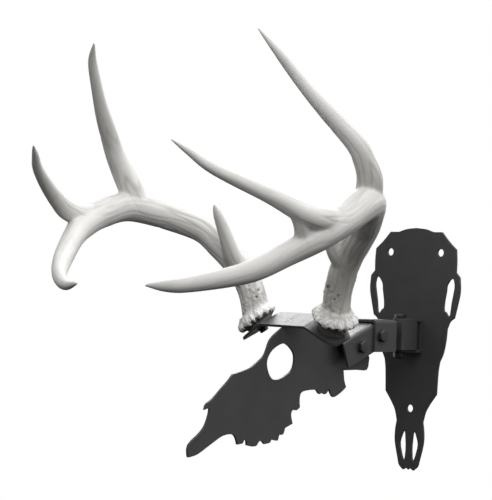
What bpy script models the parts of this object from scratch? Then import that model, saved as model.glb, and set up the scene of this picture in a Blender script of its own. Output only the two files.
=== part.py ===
"""Antler mount kit: a pair of antlers on a folded steel head that swivels and tilts on a wall plate.

The wall plate is cut as a deer skull seen from the front, and the profile plate under the antlers as
the same skull seen from the side. The frame's origin is on the plate's back face, in the middle of
its width and level with the swivel. +Z is up, -Y points into the room and +X is the deer's left.
"""
import math

import bmesh
import bpy
from mathutils import Matrix, Vector

# Sheet metal and the gap left between pieces that touch, in metres
WALL_SHEET = 0.003
ARM_SHEET = 0.003
HEAD_SHEET = 0.003
PROFILE_SHEET = 0.003
TOUCH = 0.0003

# Wall plate
WALL_HEIGHT = 0.305
SCREW_HOLE = 0.0095

# Swivel bracket on the wall plate, with an ear above and below the swivel block
PIN_FROM_WALL = 0.0285
PIN_DIAMETER = 0.008
BRACKET_WIDTH = 0.032
EAR_END_RADIUS = 0.009
BLOCK_HEIGHT = 0.0354
BLOCK_WIDTH = 0.033
BLOCK_FRONT = 0.0175
BACK_CLEARANCE = 0.0007

# Yoke, a folded channel that is open below, fixed over the swivel block's plug
YOKE_GAP = 0.014
YOKE_LENGTH = 0.0415
YOKE_WIDTH = 0.039
YOKE_HEIGHT = 0.039
BEND_RADIUS = 0.0045
EDGE_CORNER = 0.002
NECK_WIDTH = 0.010
NECK_HEIGHT = 0.028
PLUG_LENGTH = 0.012

# Tilt bolt through the yoke, and how far the head leans forward at rest
TILT_BOLT_SETBACK = 0.0115
TILT_BOLT_DIAMETER = 0.008
TILT_ANGLE = math.radians(21.5)
BOSS_RADIUS = 0.009

# Head channel, which nests in the yoke and holds the profile plate on the clamp bolt. Its middle lies
# a little above both bolts.
CHANNEL_DEPTH = 0.0334
CHANNEL_RISE = 0.0015
CHANNEL_REACH = 0.066
CHANNEL_WEB_START = 0.005
CLAMP_BOLT_REACH = 0.036
CLAMP_BOLT_DIAMETER = 0.008
SPACER_WALL = 0.0025

# Antler plate, flat between two bends, with a wing on each side
BAR_REACH = 0.1467
BAR_RISE = 0.0702
BAR_DEPTH = 0.039
BAR_FLAT = 0.0706
WING_LENGTH = 0.045
WING_ANGLE = math.radians(31.0)
WING_CORNER = 0.014
BEND_EASE = 0.002
SLOT_LENGTH = 0.009
SLOT_INSET = 0.010

# Profile plate
SKULL_LENGTH = 0.326
LUG_RADIUS = 0.012
STRAP_DEPTH = 0.030

# Antlers, and the screws that hold them from under the wings
ANTLER_REACH = 0.371
SEAT_OUT = 0.0235
SEAT_BACK = 0.024
ANTLER_SCREW_DIAMETER = 0.006
ANTLER_SCREW_DEPTH = 0.024

# Hexagons: width across the flats and height, as shares of the thread's diameter
HEX_WIDTH = 1.62
HEAD_HEIGHT = 0.66
NUT_HEIGHT = 0.8
WASHER_WIDTH = 2.1
WASHER_HEIGHT = 0.2
# How far a bolt's end stands out of its nut, in metres
BOLT_PROUD = 0.001

# Half of the wall plate from its top edge down, as (out, up) in millimetres at its full size. Each
# run is smoothed, and the runs meet in corners.
PLATE_RUNS = (
    ((0, 135.5), (15, 134), (27, 130.5)),
    ((27, 130.5), (40.5, 130.5)),
    ((40.5, 130.5), (52, 118.5), (63.2, 109)),
    ((63.2, 109), (64.2, 95), (64, 80.7)),
    ((64, 80.7), (70, 74.5)),
    ((70, 74.5), (71.1, 58), (68.3, 43), (63.5, 24)),
    ((63.5, 24), (57, 19), (53, 10)),
    ((53, 10), (51.8, -4), (48.5, -20), (43.3, -31)),
    ((43.3, -31), (41.3, -44), (40, -72)),
    ((40, -72), (30.3, -84.5)),
    ((30.3, -84.5), (24, -95), (20.4, -108)),
    ((20.4, -108), (22.4, -120), (22.3, -135), (17, -156), (14.5, -164), (8, -169.5)),
    ((8, -169.5), (3, -167), (0, -169)),
)
# The eye arch's slot, right side, and the nose slot, right side
EYE_SLOT = ((59.1, 73.8), (62.6, 65), (61.6, 56), (58.8, 42), (57.2, 28.5), (54.4, 26.2), (50.8, 31),
            (47.6, 33), (47.6, 42.5), (50.2, 57), (51.2, 65))
NOSE_SLOT = ((7.5, -119.2), (13.2, -131), (13.6, -141), (7.2, -159), (4.8, -145), (5.4, -131))
TOP_SCREW_HOLE = (39.5, 104.7)
LOW_SCREW_HOLE = (0, -91.8)

# The skull's side view as (forward, up) in millimetres from the tilt bolt, along the leaning head.
# It runs from under the antler plate over the brow and nose, then back along the teeth.
SKULL_RUNS = (
    ((139, 67), (153, 65.5), (170, 61), (182, 50), (190, 46), (211, 43), (231, 45.5), (240, 47)),
    ((240, 47), (249, 43), (262, 39), (277, 34), (290, 32), (295, 27)),
    ((295, 27), (289.5, 26.5), (288, 23), (298, 11.5), (309, 6), (330, 0.5), (335, -11), (333, -13)),
    ((333, -13), (320, -15), (297, -13), (277, -12), (262, -17), (258.5, -24), (258.5, -31)),
    ((258.5, -31), (250.5, -33), (246.5, -30.5), (243.5, -33), (244.5, -38)),
    ((244.5, -38), (237, -43), (230, -45), (225, -42.5), (220.5, -43), (217, -49)),
    ((217, -49), (208, -51), (205, -49), (201, -51), (195, -54), (190.5, -49)),
    ((190.5, -49), (184, -51), (178.5, -45.5)),
    ((178.5, -45.5), (165, -46)),
    ((165, -46), (164, -35), (159.5, -31), (153.5, -34), (147, -33)),
    ((147, -33), (144.5, -24), (139, -17.5), (126, -20), (113, -25)),
    ((113, -25), (109.5, -32), (104.5, -32), (100.5, -36), (96, -35.5), (91.5, -32.5)),
    ((91.5, -32.5), (88.5, -44), (82, -46), (70, -45), (61.5, -43)),
    ((61.5, -43), (62, -34), (59.5, -22)),
    ((59.5, -22), (36, -31), (18, -38), (9, -26)),
)
SKULL_BACK = ((14, 9), (50, 9), (67, 12.5), (86, 42), (104, 67))
EYE_HOLE = ((151, 49), (170, 48.5), (182, 41), (185, 30), (182, 18), (172, 12.5), (155, 12), (144, 15),
            (137, 28), (141, 40))

# One antler in millimetres from its seat, as (out, forward, up) along the leaning head, with the
# radius there. Where two heights are given, the first is the left antler's.
BEAM = (
    (6, -2, (7, 7), 17), (12, -9, (41, 41), 16.5), (29, -15, (76, 69), 16.5), (52, -14, (102, 96), 16.7),
    (77, -7, (127, 122), 17.2), (125, 39, (165, 161), 18.2), (131, 86, (163, 168), 16.8),
    (125, 124, (157, 166), 15.4), (109, 157, (150, 162), 13), (85, 197, (143, 153), 11.5),
    (45, 241, (145, 150), 8.5), (23, 254, (147, 144), 6.5), (-3, 259, (149, 148), 1.6),
)
BACK_TINE = ((123, 35, (168, 165), 15.2), (131, 36, (191, 193), 14.3), (133, 41, (212, 220), 12.2),
             (130, 46, (233, 243), 11.1), (116, 61, (269, 278), 9.2), (102, 73, (302, 310), 7.1),
             (87, 83, (340, 349), 5.4), (70, 89, (371, 372), 1.4))
FRONT_TINE = ((131, 101, (165, 172), 12), (128, 135, (181, 187), 11.9), (111, 167, (214, 217), 9),
              (79, 205, (255, 258), 6.3), (62, 218, (278, 279), 4.2), (50, 227, (294, 293), 1.3))
BROW_TINE = ((29, -12, (72, 68), 12), (26, -4, (92, 90), 10), (25, 0, (116, 116), 8),
             (25, 4, (138, 140), 5.6), (25, 6, (151, 153), 1.8))
# The web that fills the fork in front of the left antler's beam
FORK_WEB = ((115, 139, (156, 156), 10), (119, 142, (175, 175), 8.5), (121, 147, (194, 194), 9))
PEDICLE_RADIUS = 17
BURR_RADIUS = 26.5
BURR_HEIGHT = 9
# The foot of the antler as (height, radius) from the pedicle up through the burr
FOOT = ((-3, PEDICLE_RADIUS), (3, PEDICLE_RADIUS), (BURR_HEIGHT - 4, BURR_RADIUS - 2.5),
        (BURR_HEIGHT - 1, BURR_RADIUS), (BURR_HEIGHT + 3, BURR_RADIUS - 1.5),
        (BURR_HEIGHT + 9, PEDICLE_RADIUS + 1))

CURVE_STEPS = 3
BEND_STEPS = 3
ROUND_SIDES = 24
ANTLER_SIDES = 16
REMESH_STEP = 2.4
KEPT_FACES = 0.062
NUT_SIDES = 12
HOLE_SIDES = 16
# How far a cutting shape runs past the piece it cuts
OVERCUT = 0.001

# What follows from the sizes above
wall_front = -WALL_SHEET
bracket_back = wall_front - TOUCH
pin_y = -PIN_FROM_WALL
yoke_back = pin_y - BLOCK_FRONT - YOKE_GAP
yoke_front = yoke_back - YOKE_LENGTH
tilt_y = yoke_front + TILT_BOLT_SETBACK
yoke_inside = YOKE_WIDTH / 2 - ARM_SHEET
channel_width = 2 * (yoke_inside - TOUCH)
channel_inside = channel_width / 2 - HEAD_SHEET
boss_half = channel_inside - TOUCH
ear_inside = BLOCK_HEIGHT / 2 + TOUCH


def clear_scene():
    for thing in list(bpy.data.objects):
        bpy.data.objects.remove(thing, do_unlink=True)


def material(name, color, roughness, metallic=0.0):
    """A Principled material with one colour."""
    made = bpy.data.materials.new(name)
    made.use_nodes = True
    shader = made.node_tree.nodes["Principled BSDF"]
    shader.inputs["Base Color"].default_value = (*color, 1.0)
    shader.inputs["Roughness"].default_value = roughness
    shader.inputs["Metallic"].default_value = metallic
    made.diffuse_color = (*color, 1.0)
    return made


def empty(name, location, parent=None, tilt=0.0):
    """A joint's axis, which carries the pieces that turn about it."""
    made = bpy.data.objects.new(name, None)
    bpy.context.collection.objects.link(made)
    made.location = location
    made.rotation_euler.x = tilt
    made.parent = parent
    return made


def add_object(name, bm, finish=None, parent=None, place=None, smooth=False):
    """Turns a bmesh into an object, with its place in the mesh and its parent's axes as its own."""
    if place is not None:
        bmesh.ops.transform(bm, matrix=place, verts=bm.verts)
    bmesh.ops.recalc_face_normals(bm, faces=bm.faces)
    mesh = bpy.data.meshes.new(name)
    bm.to_mesh(mesh)
    bm.free()
    made = bpy.data.objects.new(name, mesh)
    bpy.context.collection.objects.link(made)
    made.parent = parent
    if finish is not None:
        mesh.materials.append(finish)
    if smooth:
        mesh.shade_smooth()
        mesh.set_sharp_from_angle(angle=math.radians(35))
    return made


def boolean(target, tool, operation):
    """Cuts, joins or intersects target with tool, which then only guides the shape."""
    modifier = target.modifiers.new(operation.title() + " " + tool.name, "BOOLEAN")
    modifier.operation = operation
    modifier.object = tool
    tool.hide_render = True
    tool.display_type = "WIRE"


def smooth_run(points, steps=CURVE_STEPS):
    """Points along a smooth curve through the given points of any dimension."""
    if len(points) < 3:
        return [Vector(p) for p in points]
    knots = [Vector(p) for p in points]
    knots = [2 * knots[0] - knots[1]] + knots + [2 * knots[-1] - knots[-2]]
    curve = []
    for a, b, c, d in zip(knots, knots[1:], knots[2:], knots[3:]):
        for step in range(steps):
            t = step / steps
            curve.append(0.5 * (2 * b + (c - a) * t + (2 * a - 5 * b + 4 * c - d) * t ** 2
                                + (3 * b - a - 3 * c + d) * t ** 3))
    return curve + [knots[-2]]


def smooth_loop(points, steps=CURVE_STEPS):
    """A closed smooth curve through the given points."""
    around = [points[-1], *points, points[0], points[1]]
    curve = smooth_run(around, steps)
    return curve[steps:-steps - 1]


def joined_runs(runs):
    """One open outline from runs that meet in corners."""
    outline = [Vector(runs[0][0])]
    for run in runs:
        outline += smooth_run(run)[1:]
    return outline


def circle(center, radius, sides=ROUND_SIDES):
    """A loop of points round a center."""
    return [Vector((center[0] + radius * math.cos(math.tau * k / sides),
                    center[1] + radius * math.sin(math.tau * k / sides))) for k in range(sides)]


def arc(center, radius, start, end, steps):
    """Points on an arc, with its angles in degrees."""
    turn = [math.radians(start + (end - start) * k / steps) for k in range(steps + 1)]
    return [Vector((center[0] + radius * math.cos(a), center[1] + radius * math.sin(a))) for a in turn]


def rounded_box(low, high, radius, steps=4):
    """A rectangle with round corners, from its low corner to its high one."""
    corners = ((high[0] - radius, low[1] + radius, -90), (high[0] - radius, high[1] - radius, 0),
               (low[0] + radius, high[1] - radius, 90), (low[0] + radius, low[1] + radius, 180))
    return [p for x, y, start in corners for p in arc((x, y), radius, start, start + 90, steps)]


def prism(name, loops, depth, place, finish=None, parent=None):
    """A sheet or bar cut to the first loop, with the other loops as holes, depth thick along place's Z."""
    bm = bmesh.new()
    for loop in loops:
        corners = [bm.verts.new((p[0], p[1], 0.0)) for p in loop]
        for k, corner in enumerate(corners):
            bm.edges.new((corners[k - 1], corner))
    bmesh.ops.triangle_fill(bm, edges=bm.edges, use_beauty=True, use_dissolve=False)
    grown = bmesh.ops.extrude_face_region(bm, geom=bm.faces[:])["geom"]
    top = [v for v in grown if isinstance(v, bmesh.types.BMVert)]
    bmesh.ops.translate(bm, verts=top, vec=(0.0, 0.0, depth))
    return add_object(name, bm, finish, parent, place)


# Ways to lay a flat outline: its X, its Y and the direction of its thickness
def upright(y):
    """Out and up in a plane that faces the room, with the thickness towards the room."""
    return Matrix(((1, 0, 0, 0), (0, 0, -1, y), (0, 1, 0, 0), (0, 0, 0, 1)))


def sideways(x):
    """Forward and up in a plane across the object, with the thickness towards -X."""
    return Matrix(((0, 0, -1, x), (-1, 0, 0, 0), (0, 1, 0, 0), (0, 0, 0, 1)))


def level(z):
    """Out and back in a level plane, with the thickness upwards."""
    return Matrix(((1, 0, 0, 0), (0, 1, 0, 0), (0, 0, 1, z), (0, 0, 0, 1)))


def lathe(stations, sides=ROUND_SIDES, closed_ring=False):
    """Rings of (height, radius, flats) along Z: flats is 6 for a hexagon's flat radius, or 0 for round."""
    bm = bmesh.new()
    rings = []
    for height, radius, flats in stations:
        ring = []
        for k in range(sides):
            angle = math.tau * k / sides
            reach = radius
            if flats:
                sector = math.tau / flats
                reach = radius / math.cos((angle % sector) - sector / 2)
            ring.append(bm.verts.new((reach * math.cos(angle), reach * math.sin(angle), height)))
        rings.append(ring)
    pairs = list(zip(rings, rings[1:]))
    if closed_ring:
        pairs.append((rings[-1], rings[0]))
    for low, high in pairs:
        for k in range(sides):
            bm.faces.new((low[k - 1], low[k], high[k], high[k - 1]))
    if not closed_ring:
        bm.faces.new(rings[0])
        bm.faces.new(rings[-1])
    return bm


def along(start, direction):
    """Places a turned piece with its Z along direction from start."""
    turn = Vector(direction).to_track_quat("Z", "Y").to_matrix().to_4x4()
    return Matrix.Translation(start) @ turn


def bolt(name, diameter, grip, start, direction, finish, parent):
    """A hexagon bolt whose head sits at start and whose shank runs back from it, through its nut."""
    flat = HEX_WIDTH * diameter / 2
    head = HEAD_HEIGHT * diameter
    end = -grip - NUT_HEIGHT * diameter - BOLT_PROUD
    stations = ((end, 0.4 * diameter, 0), (end + 0.1 * diameter, diameter / 2, 0), (0.0, diameter / 2, 0),
                (0.0, flat, 6), (0.8 * head, flat, 6), (head, 0.88 * flat, 0))
    return add_object(name, lathe(stations), finish, parent, along(start, direction), smooth=True)


def nut(name, diameter, start, direction, finish, parent):
    """A hexagon nut from start on, round a shank along direction."""
    flat = HEX_WIDTH * diameter / 2
    height = NUT_HEIGHT * diameter
    bore = diameter / 2 + TOUCH
    stations = ((0.0, flat, 6), (0.85 * height, flat, 6), (height, 0.9 * flat, 0), (height, bore, 0),
                (0.0, bore, 0))
    return add_object(name, lathe(stations, NUT_SIDES, closed_ring=True), finish, parent,
                      along(start, direction), smooth=True)


def channel_section(width, height, sheet, top):
    """An upside-down U with rounded folds, as (out, up), with its top at the given level."""
    half = width / 2
    inner = BEND_RADIUS - sheet
    low = top - height
    right = arc((half - BEND_RADIUS, top - BEND_RADIUS), BEND_RADIUS, 90, 0, BEND_STEPS)
    right += [Vector((half, low)), Vector((half - sheet, low))]
    right += arc((half - BEND_RADIUS, top - BEND_RADIUS), inner, 0, 90, BEND_STEPS)
    left = [Vector((-p.x, p.y)) for p in reversed(right)]
    return right + left


def build_wall_plate(finish):
    """The flat plate that is screwed to the wall."""
    drawn = joined_runs(PLATE_RUNS)
    size = WALL_HEIGHT / (max(p.y for p in drawn) - min(p.y for p in drawn))
    half = [p * size for p in drawn]
    outline = half + [Vector((-p.x, p.y)) for p in reversed(half[1:-1])]
    loops = [outline]
    for slot in (EYE_SLOT, NOSE_SLOT):
        loop = [p * size for p in smooth_loop(slot, 2)]
        loops += [loop, [Vector((-p.x, p.y)) for p in reversed(loop)]]
    out, up = TOP_SCREW_HOLE
    for spot in ((out, up), (-out, up), LOW_SCREW_HOLE):
        loops.append(circle(Vector(spot) * size, SCREW_HOLE / 2, HOLE_SIDES))
    return prism("wall_plate", loops, WALL_SHEET, upright(0.0), finish)


def build_wall_bracket(finish):
    """A folded bracket with two ears that taper to a round end about the swivel pin."""
    back = bracket_back
    top = ear_inside + ARM_SHEET
    tip = pin_y - EAR_END_RADIUS
    fold = BEND_RADIUS
    web = back - ARM_SHEET
    section = arc((-back + fold, top - fold), fold, 180, 90, BEND_STEPS)
    section += [Vector((-tip, top)), Vector((-tip, ear_inside))]
    section += arc((-back + fold, top - fold), fold - ARM_SHEET, 90, 180, BEND_STEPS)
    section += [Vector((p.x, -p.y)) for p in reversed(section)]
    bracket = prism("wall_bracket", [section], BRACKET_WIDTH + 2 * TOUCH,
                    sideways(BRACKET_WIDTH / 2 + TOUCH), finish)
    half = BRACKET_WIDTH / 2
    root = web - EDGE_CORNER
    # The ear's straight flanks end where they meet the round end
    flank = Vector((half, root - pin_y))
    swing = math.degrees(math.atan2(flank.y, flank.x) - math.acos(EAR_END_RADIUS / flank.length))
    plan = [Vector((-half, root)), Vector((-half, back + OVERCUT)), Vector((half, back + OVERCUT)),
            Vector((half, root))]
    plan += arc((0, pin_y), EAR_END_RADIUS, swing, -180 - swing, 10)
    tool = prism("ear_outline", [plan, circle((0, pin_y), PIN_DIAMETER / 2 + TOUCH)],
                 2 * (top + OVERCUT), level(-top - OVERCUT))
    boolean(bracket, tool, "INTERSECT")
    return bracket


def build_swivel_block(finish, swivel):
    """The block that turns between the ears, with a neck and plug that carry the yoke."""
    half = BLOCK_WIDTH / 2
    back = PIN_FROM_WALL + bracket_back - ARM_SHEET - BACK_CLEARANCE
    flank = math.degrees(math.asin(half / back))
    neck = NECK_WIDTH / 2
    plug = yoke_inside - TOUCH
    front = -BLOCK_FRONT
    plug_back = yoke_back - pin_y - TOUCH
    plug_front = plug_back - PLUG_LENGTH
    bolt_y = tilt_y - pin_y
    boss_back = bolt_y + BOSS_RADIUS
    boss_front = bolt_y - BOSS_RADIUS
    side = [Vector((half, front)), Vector((neck, front)), Vector((neck, plug_back)),
            Vector((plug, plug_back)), Vector((plug, plug_front)), Vector((neck, plug_front)),
            Vector((neck, boss_back)), Vector((boss_half, boss_back)), Vector((boss_half, boss_front))]
    plan = arc((0, 0), back, 90 + flank, 90 - flank, 10) + side
    plan += [Vector((-p.x, p.y)) for p in reversed(side)]
    height = BLOCK_HEIGHT
    block = prism("swivel_block", [plan, circle((0, 0), PIN_DIAMETER / 2 + TOUCH)], height,
                  level(-height / 2), finish, swivel)
    # The side view has forward as its X, so it is measured the other way round from the plan
    tall = height / 2 + OVERCUT
    thick = NECK_HEIGHT / 2
    plug_half = YOKE_HEIGHT / 2 - BEND_RADIUS
    low_half = [Vector((-back - OVERCUT, -tall)), Vector((-front, -tall)), Vector((-front, -thick)),
                Vector((-plug_back, -thick)), Vector((-plug_back, -plug_half)),
                Vector((-plug_front, -plug_half)), Vector((-plug_front, -BOSS_RADIUS))]
    outline = low_half + arc((-bolt_y, 0), BOSS_RADIUS, -90, 90, 8)
    outline += [Vector((p.x, -p.y)) for p in reversed(low_half)]
    hole = circle((-bolt_y, 0), TILT_BOLT_DIAMETER / 2 + TOUCH, HOLE_SIDES)
    width = 2 * (max(half, plug) + OVERCUT)
    tool = prism("block_side", [outline, hole], width, sideways(width / 2), parent=swivel)
    boolean(block, tool, "INTERSECT")
    return block


def build_yoke(finish, swivel):
    """The fixed channel that the head tilts in."""
    top = YOKE_HEIGHT / 2
    section = channel_section(YOKE_WIDTH, YOKE_HEIGHT, ARM_SHEET, top)
    start = yoke_back - pin_y
    yoke = prism("tilt_yoke", [section], YOKE_LENGTH, upright(start), finish, swivel)
    end = -start + YOKE_LENGTH
    corner = EDGE_CORNER
    outline = [Vector((-start, top + OVERCUT)), *arc((-start + corner, -top + corner), corner, 180, 270, 2),
               *arc((end - corner, -top + corner), corner, 270, 360, 2), Vector((end, top + OVERCUT))]
    hole = circle((pin_y - tilt_y, 0), TILT_BOLT_DIAMETER / 2 + TOUCH, HOLE_SIDES)
    half = YOKE_WIDTH / 2 + OVERCUT
    tool = prism("yoke_side", [outline, hole], 2 * half, sideways(half), parent=swivel)
    boolean(yoke, tool, "INTERSECT")
    return yoke


def build_head_channel(finish, head):
    """The channel that tilts on the tilt bolt, its cheeks rounded about it inside the yoke."""
    top = CHANNEL_DEPTH / 2 + CHANNEL_RISE
    low = top - CHANNEL_DEPTH
    # The web stops short of the tilt bolt, and the cheeks end round the bolt just under it
    tail = top - HEAD_SHEET - TOUCH
    section = channel_section(channel_width, CHANNEL_DEPTH, HEAD_SHEET, top)
    channel = prism("head_channel", [section], CHANNEL_REACH + top, upright(top), finish, head)
    corner = EDGE_CORNER
    outline = [Vector((CHANNEL_WEB_START / 2, low))]
    outline += arc((CHANNEL_REACH - corner, low + corner), corner, 270, 360, 2)
    outline += [Vector((CHANNEL_REACH, top + OVERCUT)), Vector((CHANNEL_WEB_START, top + OVERCUT)),
                Vector((CHANNEL_WEB_START, tail))]
    outline += arc((0, 0), tail, 80, 260, 12)
    holes = [circle((0, 0), TILT_BOLT_DIAMETER / 2 + TOUCH, HOLE_SIDES),
             circle((CLAMP_BOLT_REACH, 0), CLAMP_BOLT_DIAMETER / 2 + TOUCH, HOLE_SIDES)]
    width = channel_width / 2 + OVERCUT
    tool = prism("channel_side", [outline, *holes], 2 * width, sideways(width), parent=head)
    boolean(channel, tool, "INTERSECT")
    return channel


def wing_frame(side):
    """Axes on a wing: X out along it, Y back, Z its normal, from the bend's front end on the top face."""
    out = Vector((side * math.cos(WING_ANGLE), 0, -math.sin(WING_ANGLE)))
    normal = Vector((side * math.sin(WING_ANGLE), 0, math.cos(WING_ANGLE)))
    back = Vector((0, 1, 0))
    corner = Vector((side * BAR_FLAT / 2, -BAR_REACH, BAR_RISE))
    return corner, out, back, normal


def seat(side):
    """The middle of an antler's seat, on the wing's top face, and the wing's normal there."""
    corner, out, back, normal = wing_frame(side)
    return corner + SEAT_OUT * out + SEAT_BACK * back, normal


def build_antler_plate(finish, head):
    """The cross plate with its two wings, slotted for the profile plate and drilled for the screws."""
    half = BAR_FLAT / 2
    reach = WING_LENGTH
    sheet = HEAD_SHEET
    bend = Vector((half, BAR_RISE))
    out = Vector((math.cos(WING_ANGLE), -math.sin(WING_ANGLE)))
    down = Vector((-math.sin(WING_ANGLE), -math.cos(WING_ANGLE)))
    under = Vector((half - sheet * math.tan(WING_ANGLE / 2), BAR_RISE - sheet))
    right = [bend - Vector((BEND_EASE, 0)), bend + BEND_EASE * out, bend + reach * out,
             bend + reach * out + sheet * down, under]
    section = right + [Vector((-p.x, p.y)) for p in reversed(right)]
    plate = prism("antler_plate", [section], BAR_DEPTH, upright(-BAR_REACH + BAR_DEPTH), finish, head)
    width = (bend + reach * out).x
    outline = rounded_box((-width, -BAR_REACH), (width, -BAR_REACH + BAR_DEPTH), WING_CORNER)
    slots = []
    wide = PROFILE_SHEET / 2 + TOUCH
    for start, end in tab_spans():
        slots.append([Vector((-wide, -end - TOUCH)), Vector((wide, -end - TOUCH)),
                      Vector((wide, -start + TOUCH)), Vector((-wide, -start + TOUCH))])
    low = BAR_RISE - reach - sheet
    tool = prism("plate_outline", [outline, *slots], BAR_RISE + OVERCUT - low, level(low), parent=head)
    boolean(plate, tool, "INTERSECT")
    for side, label in ((1, "left"), (-1, "right")):
        spot, normal = seat(side)
        radius = ANTLER_SCREW_DIAMETER / 2 + TOUCH
        bore = lathe(((-2 * sheet, radius, 0), (2 * sheet, radius, 0)), HOLE_SIDES)
        drill = add_object("drill_" + label, bore, parent=head, place=along(spot, normal))
        boolean(plate, drill, "DIFFERENCE")
    return plate


def tab_spans():
    """Start and end of the profile plate's two tabs, forward from the tilt bolt."""
    back = BAR_REACH - BAR_DEPTH
    first = back + SLOT_INSET
    last = BAR_REACH - SLOT_INSET
    return ((first, first + SLOT_LENGTH), (last - SLOT_LENGTH, last))


def build_profile(finish, head):
    """The side view of the skull, tabbed into the antler plate and bolted in the head channel."""
    drawn = joined_runs(SKULL_RUNS) + [Vector(p) for p in SKULL_BACK]
    size = SKULL_LENGTH / (max(p.x for p in drawn) - min(p.x for p in drawn))
    loops = [[p * size for p in drawn], [p * size for p in smooth_loop(EYE_HOLE)]]
    under = BAR_RISE - HEAD_SHEET - TOUCH
    loops[0] = [Vector((p.x, min(p.y, under))) for p in loops[0]]
    profile = prism("skull_profile", loops, PROFILE_SHEET, sideways(PROFILE_SHEET / 2), finish, head)
    # The hidden part that carries the face: from the clamp bolt's lug up to the antler plate
    lug = arc((CLAMP_BOLT_REACH, 0), LUG_RADIUS, 120, 300, 8)
    (start, first_end), (second_start, end) = tab_spans()
    top = BAR_RISE
    front = end + EDGE_CORNER
    strap = lug + [Vector((front, under - STRAP_DEPTH)), Vector((front, under)), Vector((end, under)),
                   Vector((end, top)), Vector((second_start, top)), Vector((second_start, under)),
                   Vector((first_end, under)), Vector((first_end, top)), Vector((start, top)),
                   Vector((start, under)), Vector((start - EDGE_CORNER, under)),
                   Vector((CHANNEL_REACH, LUG_RADIUS))]
    carrier = prism("profile_carrier", [strap], PROFILE_SHEET, sideways(PROFILE_SHEET / 2), parent=head)
    boolean(profile, carrier, "UNION")
    radius = CLAMP_BOLT_DIAMETER / 2 + TOUCH
    bore = lathe(((-PROFILE_SHEET, radius, 0), (PROFILE_SHEET, radius, 0)), HOLE_SIDES)
    drill = add_object("drill_clamp", bore, parent=head,
                       place=along((0, -CLAMP_BOLT_REACH, 0), (1, 0, 0)))
    boolean(profile, drill, "DIFFERENCE")
    return profile


def build_bolts(finish, swivel, head):
    """The swivel bolt, the tilt bolt and the clamp bolt, with their nuts and the clamp's spacers."""
    top = ear_inside + ARM_SHEET + TOUCH
    bolt("swivel_bolt", PIN_DIAMETER, 2 * top, (0, pin_y, top), (0, 0, 1), finish, None)
    nut("swivel_nut", PIN_DIAMETER, (0, pin_y, -top), (0, 0, -1), finish, None)
    side = YOKE_WIDTH / 2 + TOUCH
    bolt("tilt_bolt", TILT_BOLT_DIAMETER, 2 * side, (side, tilt_y - pin_y, 0), (1, 0, 0), finish, swivel)
    nut("tilt_nut", TILT_BOLT_DIAMETER, (-side, tilt_y - pin_y, 0), (-1, 0, 0), finish, swivel)
    side = channel_width / 2 + TOUCH
    bolt("clamp_bolt", CLAMP_BOLT_DIAMETER, 2 * side, (side, -CLAMP_BOLT_REACH, 0), (1, 0, 0), finish, head)
    nut("clamp_nut", CLAMP_BOLT_DIAMETER, (-side, -CLAMP_BOLT_REACH, 0), (-1, 0, 0), finish, head)
    bore = CLAMP_BOLT_DIAMETER / 2 + TOUCH
    start = PROFILE_SHEET / 2 + TOUCH
    end = channel_inside - TOUCH
    for sign, label in ((1, "left"), (-1, "right")):
        ring = ((start, bore + SPACER_WALL, 0), (end, bore + SPACER_WALL, 0), (end, bore, 0), (start, bore, 0))
        add_object("clamp_spacer_" + label, lathe(ring, HOLE_SIDES, closed_ring=True), finish, head,
                   along((0, -CLAMP_BOLT_REACH, 0), (sign, 0, 0)), smooth=True)


def build_antler_screw(side, label, finish, head):
    """A flanged hexagon screw that enters the antler through the wing from below."""
    spot, normal = seat(side)
    width = ANTLER_SCREW_DIAMETER
    shank = HEAD_SHEET + ANTLER_SCREW_DEPTH
    flat = HEX_WIDTH * width / 2
    flange = WASHER_HEIGHT * width
    head_top = flange + HEAD_HEIGHT * width
    stations = ((-shank, 0.15 * width, 0), (-shank + width, width / 2, 0), (0.0, width / 2, 0),
                (0.0, WASHER_WIDTH * width / 2, 0), (flange, WASHER_WIDTH * width / 2, 0), (flange, flat, 6),
                (head_top, 0.9 * flat, 6))
    start = spot - (HEAD_SHEET + TOUCH) * normal
    return add_object("antler_screw_" + label, lathe(stations, 12), finish, head, along(start, -normal))


def tube(bm, points, radii, sides=ANTLER_SIDES):
    """A closed tube along points, with its cross section kept from twisting."""
    rings = []
    normal = None
    for k, point in enumerate(points):
        ahead = (points[min(k + 1, len(points) - 1)] - points[max(k - 1, 0)]).normalized()
        if normal is None:
            normal = ahead.orthogonal().normalized()
        normal = (normal - normal.dot(ahead) * ahead).normalized()
        other = ahead.cross(normal)
        ring = []
        for s in range(sides):
            angle = math.tau * s / sides
            spoke = math.cos(angle) * normal + math.sin(angle) * other
            ring.append(bm.verts.new(point + radii[k] * spoke))
        rings.append(ring)
    for low, high in zip(rings, rings[1:]):
        for s in range(sides):
            bm.faces.new((low[s - 1], low[s], high[s], high[s - 1]))
    bm.faces.new(list(reversed(rings[0])))
    bm.faces.new(rings[-1])


def branch(stations, side, spot, size):
    """Centre points and radii of one branch, smoothed, for the antler on the given side."""
    which = 0 if side > 0 else 1
    knots = [(out, forward, up[which], radius) for out, forward, up, radius in stations]
    curve = smooth_run(knots, 4)
    points = [spot + size * Vector((side * p[0], -p[1], p[2])) for p in curve]
    return points, [size * p[3] for p in curve]


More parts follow.
